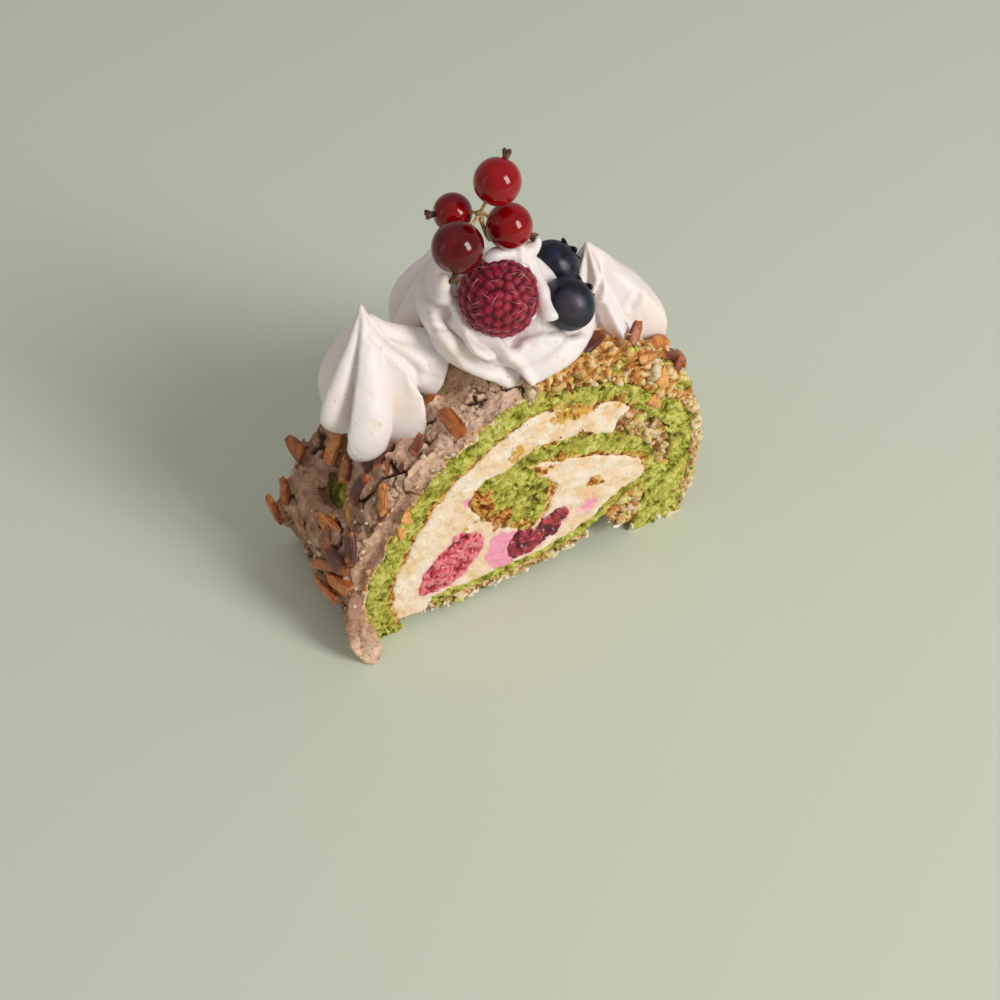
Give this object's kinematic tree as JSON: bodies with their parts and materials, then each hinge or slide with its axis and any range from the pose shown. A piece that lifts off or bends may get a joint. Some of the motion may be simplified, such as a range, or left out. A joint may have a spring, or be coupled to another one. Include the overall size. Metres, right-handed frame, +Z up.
{
  "type": "roll cake slice",
  "caption": "Slice of rolled sponge cake filled with cream and raspberry, in an almond meringue crust, topped with piped cream and berries.",
  "frame": {"origin": "middle of the slice's footprint, on the surface it stands on", "axes": "+Z up, +X to the right along the front cut, +Y from the front cut through to the back cut"},
  "size_m": [0.1038, 0.0498, 0.1121],
  "materials": {
    "sponge": "porous",
    "cream_filling": "soft",
    "raspberry": "moist",
    "meringue": "crumbly",
    "piped_cream": "smooth",
    "blueberry": "waxy bloom",
    "currant": "glossy",
    "stem": "dry"
  },
  "bodies": {
    "root": {"sponge": "sponge", "cream_filling": "cream_filling", "raspberry_fill_left": "raspberry", "raspberry_fill_right": "raspberry", "meringue_crust": "meringue", "meringue_inner": "meringue", "meringue_fold": "meringue", "meringue_base": "meringue", "swirl_centre": "piped_cream", "swirl_left": "piped_cream", "swirl_back": "piped_cream", "swirl_right": "piped_cream", "raspberry": "raspberry", "blueberry_upper": "blueberry", "blueberry_lower": "blueberry", "currant_top": "currant", "currant_right": "currant", "currant_front": "currant", "currant_back": "currant", "currant_stem": "stem"}
  },
  "joints": []
}
